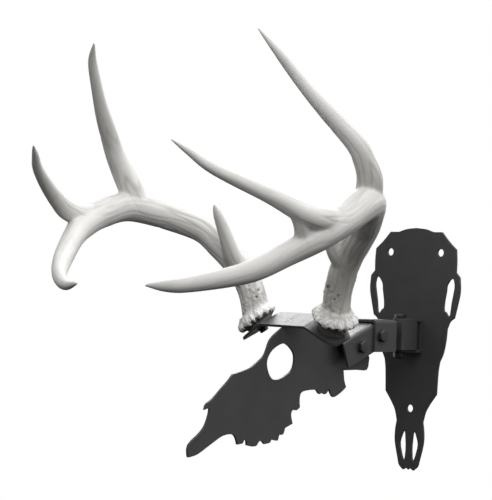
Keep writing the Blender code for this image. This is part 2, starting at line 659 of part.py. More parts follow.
def build_antler(side, label, finish, head):
    """One antler: beam, three tines and the burr, grown together and cut flat on its seat."""
    branches = [BEAM, BACK_TINE, FRONT_TINE, BROW_TINE]
    if side > 0:
        branches.append(FORK_WEB)
    spot, normal = seat(side)
    size = ANTLER_REACH / BACK_TINE[-1][2][0]
    bm = bmesh.new()
    for stations in branches:
        points, radii = branch(stations, side, spot, size)
        tube(bm, points, radii)
    tube(bm, [spot + size * height * normal for height, _ in FOOT], [size * r for _, r in FOOT], 20)
    antler = add_object("antler_" + label, bm, finish, head)
    remesh = antler.modifiers.new("Grow together", "REMESH")
    remesh.mode = "VOXEL"
    remesh.voxel_size = size * REMESH_STEP
    soften = antler.modifiers.new("Soften", "SMOOTH")
    soften.factor = 0.5
    soften.iterations = 4
    thin = antler.modifiers.new("Thin out", "DECIMATE")
    thin.ratio = KEPT_FACES
    saw = bmesh.new()
    block = 4 * size * BURR_RADIUS
    bmesh.ops.create_cube(saw, size=block)
    saw_place = along(spot + (TOUCH - block / 2) * normal, normal)
    boolean(antler, add_object("saw_" + label, saw, parent=head, place=saw_place), "DIFFERENCE")
    radius = ANTLER_SCREW_DIAMETER / 2 + TOUCH
    bore = lathe(((-HEAD_SHEET, radius, 0), (ANTLER_SCREW_DEPTH + OVERCUT, radius, 0)), NUT_SIDES)
    drill = add_object("bore_" + label, bore, parent=head, place=along(spot, normal))
    boolean(antler, drill, "DIFFERENCE")
    return antler


def main():
    clear_scene()
    black = material("black_powder_coat", (0.036, 0.036, 0.037), 0.5)
    dark_steel = material("black_oxide_steel", (0.05, 0.05, 0.052), 0.4, 0.6)
    bone = material("antler_bone", (0.72, 0.69, 0.63), 0.5)
    swivel = empty("swivel_axis", (0, pin_y, 0))
    head = empty("tilt_axis", (0, tilt_y - pin_y, 0), swivel, TILT_ANGLE)
    build_wall_plate(black)
    build_wall_bracket(black)
    build_swivel_block(black, swivel)
    build_yoke(black, swivel)
    build_head_channel(black, head)
    build_antler_plate(black, head)
    build_profile(black, head)
    build_bolts(dark_steel, swivel, head)
    for side, label in ((1, "left"), (-1, "right")):
        build_antler_screw(side, label, dark_steel, head)
        build_antler(side, label, bone, head)


main()
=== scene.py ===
# %% [markdown]
# # An antler mount: antlers on a folded steel head
#
# The real object is a wall-hung display kit. A steel plate cut as a deer's skull is screwed to the
# wall, a short arm swivels and tilts on it, and the head at the arm's end carries two antlers over a
# second skull plate, cut as the side view. The frame below is the measured model: every piece made
# here is set against it and rides on one of its bodies.
# %% Load the measured frame
import math

import bpy
import numpy as np
from mathutils import Matrix, Vector, noise
from mathutils.kdtree import KDTree


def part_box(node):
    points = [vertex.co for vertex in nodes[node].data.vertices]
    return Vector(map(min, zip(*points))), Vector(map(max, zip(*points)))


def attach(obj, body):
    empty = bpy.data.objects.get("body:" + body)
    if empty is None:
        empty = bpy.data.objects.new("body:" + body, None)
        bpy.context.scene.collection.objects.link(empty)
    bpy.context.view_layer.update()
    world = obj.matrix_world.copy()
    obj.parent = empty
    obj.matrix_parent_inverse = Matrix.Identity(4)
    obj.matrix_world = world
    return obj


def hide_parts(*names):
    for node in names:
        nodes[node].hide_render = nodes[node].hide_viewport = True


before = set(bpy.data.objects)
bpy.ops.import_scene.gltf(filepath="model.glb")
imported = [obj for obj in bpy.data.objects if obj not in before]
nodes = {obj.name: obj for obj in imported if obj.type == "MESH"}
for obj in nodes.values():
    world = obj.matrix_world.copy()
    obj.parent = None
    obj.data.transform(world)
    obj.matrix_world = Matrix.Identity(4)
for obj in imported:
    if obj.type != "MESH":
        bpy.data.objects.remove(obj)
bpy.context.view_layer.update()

MM = 0.001

# %% [markdown]
# ## The camera
#
# The picture was taken from the front left of the deer, a little over two metres away and almost level,
# with the camera turned two degrees, so that the whole kit leans. A camera could be aimed with a
# Track To constraint, but its three axes are written out here, because the lean is then one number.
# %% Camera
PICTURE_WIDTH = 492
FOCAL_PIXELS = 1750
SENSOR_WIDTH = 36.0
CAMERA_PLACE = Vector((1.3482, -1.7614, 0.0613))
AZIMUTH = math.radians(43.0)
ELEVATION = math.radians(-1.0)
ROLL = math.radians(2.1)

back = Vector((math.sin(AZIMUTH) * math.cos(ELEVATION), -math.cos(AZIMUTH) * math.cos(ELEVATION),
               math.sin(ELEVATION)))
level_right = Vector((math.cos(AZIMUTH), math.sin(AZIMUTH), 0))
level_up = back.cross(level_right)
right = math.cos(ROLL) * level_right + math.sin(ROLL) * level_up
up = back.cross(right)

bpy.ops.object.camera_add(location=CAMERA_PLACE)
camera = bpy.context.object
camera.name = "camera"
turned = Matrix((right, up, back)).transposed().to_4x4()
camera.matrix_world = Matrix.Translation(CAMERA_PLACE) @ turned
camera.data.sensor_fit = "HORIZONTAL"
camera.data.sensor_width = SENSOR_WIDTH
camera.data.lens = SENSOR_WIDTH * FOCAL_PIXELS / PICTURE_WIDTH
bpy.context.scene.camera = camera
print("Lens: %.1f mm" % camera.data.lens)

# %% [markdown]
# ## Helpers
#
# An operator works on whatever is selected, so each job starts from an empty selection. Finished pieces
# keep their object at the origin, with their place in the mesh, as the frame's own pieces do.
# %% Selection, modifiers and placing
def pick(*things):
    """Selects these objects and nothing else. The first one becomes the active object."""
    if bpy.context.object and bpy.context.object.mode != "OBJECT":
        bpy.ops.object.mode_set(mode="OBJECT")
    bpy.ops.object.select_all(action="DESELECT")
    for thing in things:
        thing.select_set(True)
    bpy.context.view_layer.objects.active = things[0]


def apply_modifier(thing, kind, **settings):
    """Adds a modifier with these settings and applies it at once."""
    pick(thing)
    modifier = thing.modifiers.new(kind.title(), kind)
    for name, value in settings.items():
        setattr(modifier, name, value)
    bpy.ops.object.modifier_apply(modifier=modifier.name)


def settle(thing):
    """Moves an object's place, turn and scale into its mesh."""
    pick(thing)
    bpy.ops.object.transform_apply(location=True, rotation=True, scale=True)


def smooth(thing, degrees=35):
    """Shades smooth, apart from edges sharper than this."""
    pick(thing)
    bpy.ops.object.shade_smooth_by_angle(angle=math.radians(degrees))


def finish_piece(thing, name, body, slot, finish, *replaced):
    """Names a piece, gives it its material, and sets it on its body in place of the frame's own."""
    thing.name = name
    thing.data.name = name
    thing.data.materials.clear()
    thing.data.materials.append(finish)
    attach(thing, body)
    if replaced:
        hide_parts(*replaced)
    print(name, "on", body, len(thing.data.polygons), "faces")
    return thing


# %% Node trees
def new_material(name):
    """A material with its tree, and its main shader."""
    made = bpy.data.materials.new(name)
    made.use_nodes = True
    return made, made.node_tree, made.node_tree.nodes["Principled BSDF"]


def add_node(tree, kind, inputs=None, **settings):
    """A node with its settings, and with its inputs given as plain values or as other nodes' outputs."""
    made = tree.nodes.new(kind)
    for name, value in settings.items():
        setattr(made, name, value)
    for key, value in (inputs or {}).items():
        socket = made.inputs[key]
        if isinstance(value, bpy.types.NodeSocket):
            tree.links.new(value, socket)
        else:
            socket.default_value = value
    return made


def ramp(tree, source, stops):
    """A colour ramp over source, as (position, colour) stops. A grey may be one number."""
    made = add_node(tree, "ShaderNodeValToRGB", {"Fac": source})
    band = made.color_ramp
    while len(band.elements) < len(stops):
        band.elements.new(0.5)
    for element, (position, color) in zip(band.elements, stops):
        element.position = position
        shade = (color, color, color) if isinstance(color, float) else color
        element.color = (*shade, 1.0)
    return made.outputs["Color"]


def texture(tree, kind, place, **inputs):
    """A procedural texture at place, with its inputs by name."""
    values = {key.replace("_", " "): value for key, value in inputs.items()}
    return add_node(tree, "ShaderNodeTex" + kind, {"Vector": place, **values})


def blend(tree, first, second, amount, mode="MIX", strength=None):
    """Mixes two colours. An amount that comes from a socket may be scaled by strength."""
    made = add_node(tree, "ShaderNodeMix", data_type="RGBA", blend_type=mode, clamp_factor=True)
    if strength is not None:
        amount = add_node(tree, "ShaderNodeMath", {0: amount, 1: strength},
                          operation="MULTIPLY").outputs["Value"]
    for socket, value in ((made.inputs[0], amount), (made.inputs[6], first), (made.inputs[7], second)):
        if isinstance(value, bpy.types.NodeSocket):
            tree.links.new(value, socket)
        else:
            socket.default_value = value
    return made.outputs[2]


# %% [markdown]
# ## The black finish
#
# The steel is powder coated: a thin satin skin of melted powder, with a fine grain that scatters its
# highlights and a slow ripple like orange peel. Two noises at those two scales drive the bump, and
# the roughness wanders a little where the coat lies thicker. A flat black would look like plastic.
# %% Powder coat
COAT_BLACK = (0.07, 0.07, 0.071)
STEEL_BLACK = (0.075, 0.075, 0.078)
CLOUD_SHADE = 0.86
# Waves per metre of the coat's four patterns, from the widest to the finest
CLOUD_WAVES = 38.0
PATCH_WAVES = 210.0
RIPPLE_WAVES = 620.0
GRAIN_WAVES = 2300.0
RIPPLE_HEIGHT = 0.4 * MM
GRAIN_HEIGHT = 0.12 * MM


def powder_coat(name, color, low_roughness, high_roughness, specular, metallic):
    """A black coat whose roughness wanders between two values."""
    made, tree, shader = new_material(name)
    shader.inputs["Specular IOR Level"].default_value = specular
    shader.inputs["Metallic"].default_value = metallic
    place = add_node(tree, "ShaderNodeTexCoord").outputs["Object"]
    cloud = texture(tree, "Noise", place, Scale=CLOUD_WAVES, Detail=3.0, Roughness=0.55)
    tint = ramp(tree, cloud.outputs["Fac"], ((0.3, tuple(CLOUD_SHADE * c for c in color)), (0.7, color)))
    tree.links.new(tint, shader.inputs["Base Color"])
    patch = texture(tree, "Noise", place, Scale=PATCH_WAVES, Detail=4.0, Roughness=0.6)
    rough = ramp(tree, patch.outputs["Fac"], ((0.3, low_roughness), (0.72, high_roughness)))
    tree.links.new(rough, shader.inputs["Roughness"])
    ripple = texture(tree, "Noise", place, Scale=RIPPLE_WAVES, Detail=1.0, Roughness=0.5)
    grain = texture(tree, "Voronoi", place, Scale=GRAIN_WAVES)
    wave = add_node(tree, "ShaderNodeBump", {"Strength": 0.08, "Distance": RIPPLE_HEIGHT,
                                             "Height": ripple.outputs["Fac"]})
    speck = add_node(tree, "ShaderNodeBump", {"Strength": 0.12, "Distance": GRAIN_HEIGHT,
                                              "Height": grain.outputs["Distance"],
                                              "Normal": wave.outputs["Normal"]})
    tree.links.new(speck.outputs["Normal"], shader.inputs["Normal"])
    print("Coat:", name)
    return made


coat = powder_coat("satin_powder_coat", COAT_BLACK, 0.32, 0.42, specular=0.4, metallic=0.0)
fastener_black = powder_coat("black_fastener_steel", STEEL_BLACK, 0.26, 0.40, specular=0.5, metallic=0.6)

# %% [markdown]
# ## Cut and folded sheet
#
# A plate that is cut from sheet has no razor edge: the cutter and the coat leave a small round of some
# tenths of a millimetre, which catches a thin line of light. Each plate here is a copy of the frame's
# own solid, welded, cleared of the cuts inside its flat faces, and bevelled along its sharp edges.
# %% Plates with eased edges
EDGE_ROUND = 0.35 * MM
SHARP_EDGE = math.radians(40)
FLAT_FACE = math.radians(0.6)
WELD = 0.01 * MM
BODIES = {
    "wall_mount": ("wall_plate", "wall_bracket"),
    "arm": ("swivel_block", "tilt_yoke"),
    "head": ("head_channel", "antler_plate", "skull_profile"),
}


def eased_copy(node):
    """A welded copy of a node's mesh with its sharp edges rounded."""
    piece = bpy.data.objects.new(node + "_coated", nodes[node].data.copy())
    bpy.context.scene.collection.objects.link(piece)
    pick(piece)
    bpy.ops.object.mode_set(mode="EDIT")
    bpy.ops.mesh.select_all(action="SELECT")
    bpy.ops.mesh.remove_doubles(threshold=WELD)
    bpy.ops.mesh.dissolve_limited(angle_limit=FLAT_FACE)
    bpy.ops.object.mode_set(mode="OBJECT")
    apply_modifier(piece, "BEVEL", width=EDGE_ROUND, segments=2, limit_method="ANGLE",
                   angle_limit=SHARP_EDGE, use_clamp_overlap=True)
    smooth(piece)
    apply_modifier(piece, "WEIGHTED_NORMAL", keep_sharp=True, weight=90)
    return piece


for body, members in BODIES.items():
    for node in members:
        piece = eased_copy(node)
        finish_piece(piece, node + "_coated", body, "black_powder_coat", coat, node)

# %% [markdown]
# ## Bolts and nuts
#
# A hexagon head isn't a plain prism: a cone has turned off its six top corners, and a thin round washer
# face stands under it. The head could be spun and cut by hand; here a six-sided cylinder is
# intersected with a turned cone, which is how the lathe makes it. The threads show only where a shank
# stands out of its nut, so each shank gets real ridges over that part alone.
# %% Hexagons and shanks
# Widths and heights as shares of the thread's diameter
WIDTH_SHARE = 1.62
HEAD_SHARE = 0.66
NUT_SHARE = 0.8
FACE_RADIUS_SHARE = 0.76
THREADED_SHARE = 0.9
WASHER_FACE = 0.4 * MM
# The cone that turns the corners off: its slope, and its top as a share of the hexagon's width
CORNER_SLOPE = math.radians(28)
TOP_SHARE = 0.95
HEXAGON_BEVEL = 0.18 * MM
THREAD_PITCH = 1.25 * MM
THREAD_ROOT = 0.86
STUB = 0.1 * MM
TIP_INSET = 0.5 * MM
TIP_DROP = 0.3 * MM
PROUD = 0.6 * MM
GAP = 0.3 * MM


def cylinder(radius, start, end, sides=48):
    """A cylinder along Z between two heights, with its place in its mesh."""
    bpy.ops.object.select_all(action="DESELECT")
    bpy.ops.mesh.primitive_cylinder_add(vertices=sides, radius=radius, depth=end - start,
                                        location=(0, 0, (start + end) / 2))
    made = bpy.context.object
    settle(made)
    return made


def cut_with(thing, tool, operation="DIFFERENCE"):
    """Cuts a piece with a tool, which is then thrown away."""
    apply_modifier(thing, "BOOLEAN", operation=operation, object=tool)
    bpy.data.objects.remove(tool, do_unlink=True)


def hexagon(flat_width, low, high):
    """A hexagon between two heights, with its top corners turned off and its edges eased."""
    head = cylinder(flat_width / 2 / math.cos(math.radians(30)), low, high, 6)
    top_radius = TOP_SHARE * flat_width / 2
    deep = 2 * (high - low)
    bpy.ops.object.select_all(action="DESELECT")
    bpy.ops.mesh.primitive_cone_add(vertices=72, radius1=top_radius + deep / math.tan(CORNER_SLOPE),
                                    radius2=top_radius, depth=deep, location=(0, 0, high - deep / 2))
    cone = bpy.context.object
    settle(cone)
    cut_with(head, cone, "INTERSECT")
    apply_modifier(head, "BEVEL", width=HEXAGON_BEVEL, segments=2, limit_method="ANGLE",
                   angle_limit=math.radians(20))
    return head


def shank(radius, start, end, threaded):
    """A rod along Z from start down to end, with ridges of thread over its last part."""
    rod = cylinder(radius, start - STUB, start)
    pick(rod)
    bpy.ops.object.mode_set(mode="EDIT")
    bpy.ops.mesh.select_all(action="DESELECT")
    bpy.ops.object.mode_set(mode="OBJECT")
    low = min(v.co.z for v in rod.data.vertices)
    for face in rod.data.polygons:
        face.select = face.center.z < low + STUB / 10
    bpy.ops.object.mode_set(mode="EDIT")
    plain = start - end - threaded
    bpy.ops.mesh.extrude_region_move(TRANSFORM_OT_translate={"value": (0, 0, -plain)})
    place = start - STUB - plain
    for k in range(2 * round(threaded / THREAD_PITCH)):
        place -= THREAD_PITCH / 2
        bpy.ops.mesh.extrude_region_move(TRANSFORM_OT_translate={"value": (0, 0, -THREAD_PITCH / 2)})
        ratio = THREAD_ROOT if k % 2 == 0 else 1 / THREAD_ROOT
        bpy.ops.transform.resize(value=(ratio, ratio, 1), center_override=(0, 0, place))
    bpy.ops.mesh.inset(thickness=TIP_INSET)
    bpy.ops.transform.translate(value=(0, 0, -TIP_DROP))
    bpy.ops.object.mode_set(mode="OBJECT")
    return rod


def joined(first, *others):
    """One object from several."""
    pick(first, *others)
    bpy.ops.object.join()
    return first


# %% Bolt, nut and screw
FLANGE_RADIUS_SHARE = 1.05
FLANGE_SHARE = 0.2
FLANGE_BEVEL = 0.35 * MM
SCREW_THREADED = 0.6


def bolt(diameter, grip):
    """A hexagon bolt with its head above z = 0 and its shank below, through its nut."""
    head = hexagon(WIDTH_SHARE * diameter, WASHER_FACE, HEAD_SHARE * diameter)
    face = cylinder(FACE_RADIUS_SHARE * diameter, 0, WASHER_FACE)
    end = -grip - NUT_SHARE * diameter - PROUD
    return joined(head, face, shank(diameter / 2, 0, end, THREADED_SHARE * diameter))


def nut(diameter):
    """A hexagon nut above z = 0, with its bore."""
    made = hexagon(WIDTH_SHARE * diameter, 0, NUT_SHARE * diameter)
    cut_with(made, cylinder(diameter / 2 + GAP, -MM, diameter))
    return made


def flanged_screw(diameter, length):
    """The antlers' screw: a hexagon on a round flange, with a threaded shank below it."""
    flange = cylinder(FLANGE_RADIUS_SHARE * diameter, 0, FLANGE_SHARE * diameter)
    apply_modifier(flange, "BEVEL", width=FLANGE_BEVEL, segments=3, limit_method="ANGLE",
                   angle_limit=SHARP_EDGE)
    head = hexagon(WIDTH_SHARE * diameter, FLANGE_SHARE * diameter, (FLANGE_SHARE + HEAD_SHARE) * diameter)
    return joined(head, flange, shank(diameter / 2, 0, -length, SCREW_THREADED * length))


def place_fastener(made, node, body, at, direction):
    """Turns a fastener's Z to direction, moves its zero to at, and puts it in place of its node."""
    turn = Vector(direction).to_track_quat("Z", "Y").to_matrix().to_4x4()
    made.matrix_world = Matrix.Translation(at) @ turn
    settle(made)
    smooth(made, 30)
    low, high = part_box(node)
    print("  off its node by %.2f mm" % max((Vector(made.bound_box[0]) - Vector(low)).length / MM,
                                            (Vector(made.bound_box[6]) - Vector(high)).length / MM))
    return finish_piece(made, node + "_turned", body, "black_oxide_steel", fastener_black, node)


# %% The bolts of the three joints
BOLT_SIZE = 8 * MM
SWIVEL_AXIS = Vector((0, -28.5 * MM, 0))
TILT_AXIS = Vector((0, -90.0 * MM, 0))
HEAD_TILT = math.radians(21.5)
head_place = Matrix.Translation(TILT_AXIS) @ Matrix.Rotation(HEAD_TILT, 4, "X")
EAR_FACE = 21.3 * MM
YOKE_FACE = 19.8 * MM
CHEEK_FACE = 16.5 * MM
CLAMP_REACH = 36.0 * MM
clamp = head_place @ Vector((0, -CLAMP_REACH, 0))
for name, body, middle, face, axis in (("swivel", "wall_mount", SWIVEL_AXIS, EAR_FACE, Vector((0, 0, 1))),
                                       ("tilt", "arm", TILT_AXIS, YOKE_FACE, Vector((1, 0, 0))),
                                       ("clamp", "head", clamp, CHEEK_FACE, Vector((1, 0, 0)))):
    place_fastener(bolt(BOLT_SIZE, 2 * face), name + "_bolt", body, middle + face * axis, axis)
    place_fastener(nut(BOLT_SIZE), name + "_nut", body, middle - face * axis, -axis)

# %% [markdown]
# ## The antlers
#
# Antler is bone: a beam that leaves the skull through a rough ring, the burr, and throws off smooth
# tines. Blood vessels in the velvet leave long furrows in the lower beam and small pearls near the burr,
# and rubbing polishes the tips. The beam and tines could be sculpted; here each is a tapering tube
# along a smooth line, and a voxel remesh grows them together, so the forks get natural webs.
# %% Lines of the branches
SEAT = Vector((55.44, -122.7, 58.1)) * MM
WING_ANGLE = math.radians(31.0)
# Stations of each branch in millimetres from the seat, in the leaning head: (out, forward, (height on
# the deer's left, on its right), radius)
BRANCHES = {
    "beam": ((6, -2, (7, 7), 17), (12, -9, (41, 41), 16.5), (29, -15, (76, 69), 16.5),
             (52, -14, (102, 96), 16.7), (77, -7, (127, 122), 17.2), (125, 39, (165, 161), 18.2),
             (131, 86, (163, 168), 16.8), (125, 124, (157, 166), 15.4), (109, 157, (150, 162), 13),
             (85, 197, (143, 153), 11.5), (45, 241, (145, 150), 8.5), (23, 254, (147, 144), 6.5),
             (-3, 259, (149, 148), 1.6)),
    "back_tine": ((123, 35, (168, 165), 15.2), (131, 36, (191, 193), 14.3), (133, 41, (212, 220), 12.2),
                  (130, 46, (233, 243), 11.1), (116, 61, (269, 278), 9.2), (102, 73, (302, 310), 7.1),
                  (87, 83, (340, 349), 5.4), (70, 89, (371, 372), 1.4)),
    "front_tine": ((131, 101, (165, 172), 12), (128, 135, (181, 187), 11.9), (111, 167, (214, 217), 9),
                   (79, 205, (255, 258), 6.3), (62, 218, (278, 279), 4.2), (50, 227, (294, 293), 1.3)),
    "brow_tine": ((29, -12, (72, 68), 12), (26, -4, (92, 90), 10), (25, 0, (116, 116), 8),
                  (25, 4, (136, 140), 5.6), (25, 6, (146, 153), 1.8)),
    # The web that fills the fork in front of the left antler's beam, and the flat behind it
    "fork_web": ((117, 141, (156, 156), 10), (121, 144, (175, 175), 8.7), (122, 148, (194, 194), 9)),
    "fork_flat": ((121, 118, (158, 158), 13.5), (124, 124, (171, 171), 11.5), (124, 130, (181, 181), 9)),
}
LINE_STEPS = 10


def through(stations, steps):
    """A smooth run of 4-vectors through the stations (Catmull-Rom)."""
    knots = [Vector(s) for s in stations]
    knots = [2 * knots[0] - knots[1], *knots, 2 * knots[-1] - knots[-2]]
    run = []
    for a, b, c, d in zip(knots, knots[1:], knots[2:], knots[3:]):
        for k in range(steps):
            t = k / steps
            run.append(0.5 * (2 * b + (c - a) * t + (2 * a - 5 * b + 4 * c - d) * t ** 2
                              + (3 * b - a - 3 * c + d) * t ** 3))
    return run + [knots[-2]]


def branch_line(name, side):
    """Places and radii along a branch, in metres in the frame, for side 1 (left) or -1 (right)."""
    which = 0 if side > 0 else 1
    run = through([(out, ahead, up[which], radius) for out, ahead, up, radius in BRANCHES[name]], LINE_STEPS)
    seat = Vector((side * SEAT.x, SEAT.y, SEAT.z))
    places = [head_place @ (seat + MM * Vector((side * p[0], -p[1], p[2]))) for p in run]
    return places, [MM * p[3] for p in run]


def seat_frame(side):
    """The middle of the antler's seat and the seat's normal, in the frame."""
    seat = head_place @ Vector((side * SEAT.x, SEAT.y, SEAT.z))
    normal = head_place.to_3x3() @ Vector((side * math.sin(WING_ANGLE), 0, math.cos(WING_ANGLE)))
    return seat, normal


beam_places, _ = branch_line("beam", 1)
print("Left beam: %d points, tip at" % len(beam_places), tuple(round(x, 3) for x in beam_places[-1]))


# %% Tubes along the lines
# For each side, the burr's radius and height above the seat in millimetres, and how far it turns from
# the seat towards the beam
BURRS = {1: (28.0, 16, 0.5), -1: (26.5, 9, 0.0)}
BEAM_FOOT = Vector((0.31, 0.18, 0.93))
PEDICLE_RADIUS = 16.5


def tube(name, places, radii):
    """A round tapering tube: a path with a bevel, made a mesh."""
    line = bpy.data.curves.new(name, "CURVE")
    line.dimensions = "3D"
    line.bevel_depth = 1.0
    line.bevel_resolution = 6
    line.use_fill_caps = True
    spline = line.splines.new("POLY")
    spline.points.add(len(places) - 1)
    for point, place, radius in zip(spline.points, places, radii):
        point.co = (*place, 1.0)
        point.radius = radius
    made = bpy.data.objects.new(name, line)
    bpy.context.scene.collection.objects.link(made)
    pick(made)
    bpy.ops.object.convert(target="MESH")
    return made


def burr_axis(side):
    """The line through the burr's middle: where it leaves the seat, and its direction."""
    seat, normal = seat_frame(side)
    beam = head_place.to_3x3() @ Vector((side * BEAM_FOOT.x, BEAM_FOOT.y, BEAM_FOOT.z))
    return seat, normal.lerp(beam, BURRS[side][2]).normalized()


def burr_tube(side):
    """The swollen ring at the foot of the beam."""
    seat, axis = burr_axis(side)
    radius, height, _ = BURRS[side]
    profile = ((-3, PEDICLE_RADIUS), (height - 5.5, PEDICLE_RADIUS), (height - 3.5, radius - 3.5),
               (height - 0.5, radius - 0.5), (height + 4, radius - 3), (height + 11, PEDICLE_RADIUS + 1.5))
    return tube("burr", [seat + MM * up * axis for up, _ in profile], [MM * wide for _, wide in profile])


# %% Growing the branches together
VOXEL = 1.25 * MM
SAW_LIFT = 0.3 * MM
# Within this distance of the seat the mesh is made finer, for the burr's teeth
BURR_ZONE = 36 * MM


def grown_together(lines, side):
    """The branches and the burr as one skin, sawn flat where it meets the wing."""
    tubes = [tube(name, *line) for name, line in lines.items()]
    antler = joined(tubes[0], *tubes[1:], burr_tube(side))
    apply_modifier(antler, "REMESH", mode="VOXEL", voxel_size=VOXEL)
    apply_modifier(antler, "SMOOTH", factor=0.5, iterations=10)
    seat, normal = seat_frame(side)
    pick(antler)
    bpy.ops.object.mode_set(mode="EDIT")
    bpy.ops.mesh.select_all(action="SELECT")
    bpy.ops.mesh.bisect(plane_co=seat + SAW_LIFT * normal, plane_no=normal, clear_inner=True, use_fill=True)
    bpy.ops.mesh.select_all(action="DESELECT")
    bpy.ops.object.mode_set(mode="OBJECT")
    for face in antler.data.polygons:
        face.select = len(face.vertices) == 4 and (face.center - seat).length < BURR_ZONE
    bpy.ops.object.mode_set(mode="EDIT")
    bpy.ops.mesh.subdivide(number_cuts=1)
    bpy.ops.object.mode_set(mode="OBJECT")
    print("Grown together:", len(antler.data.vertices), "points")
    return antler


# %% [markdown]
# ### Furrows and pearls
#
# The relief follows the branch, not the room: a point on the surface is told how far along its branch
# it lies and at what angle round it. Noise that is stretched along the branch gives the furrows, and
# rounded cells near the foot of the beam give the pearls, with a few of them sunk as dark pits.
# %% Relief of one branch
FURROW_WIDTH = 8.5 * MM
FURROW_RUN = 90 * MM
FURROW_DEPTH = 0.7 * MM
FURROW_SHARPNESS = 0.13
# The furrows wander: how fast round the branch, how fast along it, and how far
WANDER_ROUND = 0.6
WANDER_RUN = 31.5 * MM
WANDER_REACH = 0.5
SWELL = 1.0 * MM
SWELL_ROUND = 0.5
SWELL_RUN = 50 * MM
# Thinner branches than this have shallower relief, and smooth tips keep this share of it
FULL_RELIEF_RADIUS = 11 * MM
TIP_RELIEF = 0.3
PEARL_REACH = 70 * MM
PEARL_SIZE = 4.4 * MM
PEARL_HEIGHT = 1.3 * MM
PEARL_SPREAD = 0.6
CLUMP_SIZE = 15.4 * MM
PIT_DEPTH = 0.8 * MM
PIT_BELOW = -0.2
# How far along each branch the surface is rough
ROUGH_REACH = {"beam": 360 * MM, "back_tine": 130 * MM, "front_tine": 110 * MM, "brow_tine": 70 * MM,
               "fork_web": 50 * MM, "fork_flat": 50 * MM}


def limited(value):
    """The value kept from 0 to 1."""
    return min(1.0, max(0.0, value))


def furrows(along, angle, radius, rough, seed):
    """The height of a branch's furrows and swells, and how deep in a furrow the place is."""
    turn = Vector((math.cos(angle), math.sin(angle))) * (radius / FURROW_WIDTH)
    wander = noise.noise(Vector((turn.x * WANDER_ROUND, turn.y * WANDER_ROUND, along / WANDER_RUN + seed)))
    fine = noise.noise(Vector((turn.x + WANDER_REACH * wander, turn.y, along / FURROW_RUN + seed)))
    furrow = math.exp(-(fine / FURROW_SHARPNESS) ** 2)
    swell = noise.noise(Vector((turn.x * SWELL_ROUND, turn.y * SWELL_ROUND, along / SWELL_RUN - seed)))
    depth = min(1.0, radius / FULL_RELIEF_RADIUS) * (TIP_RELIEF + (1 - TIP_RELIEF) * rough)
    return depth * (SWELL * swell - FURROW_DEPTH * furrow), furrow * depth


def pearls(co, along, seed):
    """The height of the pearls at a place on the beam, and how deep in a dark pit it is."""
    if along >= PEARL_REACH:
        return 0.0, 0.0
    distances, centers = noise.voronoi(co / PEARL_SIZE)
    kind = noise.noise(5.3 * centers[0])
    clump = limited(0.4 + 1.6 * noise.noise(co / CLUMP_SIZE + Vector((seed, 0, 0))))
    dome = max(0.0, 1.0 - distances[0] / PEARL_SPREAD)
    share = clump * min(1.0, 2.5 * (1.0 - along / PEARL_REACH))
    if kind > PIT_BELOW:
        return PEARL_HEIGHT * dome ** 0.8 * share, 0.0
    darkening = min(1.0, 1.8 * dome) * share
    return -PIT_DEPTH * darkening, darkening


def relief(co, along, angle, radius, name, seed):
    """How far the surface moves out at a place on one branch, and how furrowed, pitted and rough it is."""
    rough = max(0.0, 1.0 - along / ROUGH_REACH[name])
    height, furrow = furrows(along, angle, radius, rough, seed)
    rise, darkening = pearls(co, along, seed) if name == "beam" else (0.0, 0.0)
    return height + rise, furrow, darkening, rough


# %% [markdown]
# ### Blending the branches
#
# Near a fork a point belongs to two branches. It could take the nearer one's relief, but that would
# leave a seam, so the reliefs are blended by how near the point lies to the skin of each branch.
# %% Relief of the whole antler
BLEND_REACH = 3.5 * MM
LEAST_WEIGHT = 0.02


def frames_along(places):
    """Distance, direction and two cross directions at each point of a line, without twist."""
    lengths = [0.0]
    frames = []
    across = None
    for k, place in enumerate(places):
        ahead = (places[min(k + 1, len(places) - 1)] - places[max(k - 1, 0)]).normalized()
        if across is None:
            across = ahead.orthogonal().normalized()
        across = (across - across.dot(ahead) * ahead).normalized()
        frames.append((ahead, across, ahead.cross(across)))
        if k:
            lengths.append(lengths[-1] + (place - places[k - 1]).length)
    return lengths, frames


def nearest_finder(places):
    """A search tree over the points of a line."""
    tree = KDTree(len(places))
    for k, place in enumerate(places):
        tree.insert(place, k)
    tree.balance()
    return tree


def blended_relief(co, lines, seed):
    """Height, furrow, pit and roughness at each point, and its place in its nearest branch's own grain."""
    sums = np.zeros((len(co), 4))
    total = np.zeros(len(co))
    grain = np.zeros((len(co), 3))
    best = np.full(len(co), -1.0)
    for name, (places, radii) in lines.items():
        lengths, frames = frames_along(places)
        tree = nearest_finder(places)
        for v in range(len(co)):
            here = Vector(co[v])
            _, k, distance = tree.find(here)
            weight = math.exp(-(abs(distance - radii[k]) / BLEND_REACH) ** 2)
            if weight < LEAST_WEIGHT:
                continue
            ahead, across, other = frames[k]
            offset = here - places[k]
            along = lengths[k] + offset.dot(ahead)
            angle = math.atan2(offset.dot(other), offset.dot(across))
            sums[v] += weight * np.array(relief(here, along, angle, radii[k], name, seed))
            total[v] += weight
            if weight > best[v]:
                best[v] = weight
                grain[v] = (radii[k] * math.cos(angle), radii[k] * math.sin(angle), along)
    return sums / np.maximum(total, LEAST_WEIGHT)[:, None], grain


# %% [markdown]
# ### The burr
#
# The burr is a ruffle of pointed teeth round the foot of the beam, white above, with painted shade
# under it: its underside and the neck below are coloured dark. The teeth could be sculpted one by one.
# Here a wave that runs round the ring pushes the surface out, small cells roughen it, and whatever lies
# below a tooth's edge is painted dark as shade.
# %% The burr's teeth
TEETH = 17
TOOTH_HEIGHT = 2.6 * MM
TOOTH_POINT = 0.7
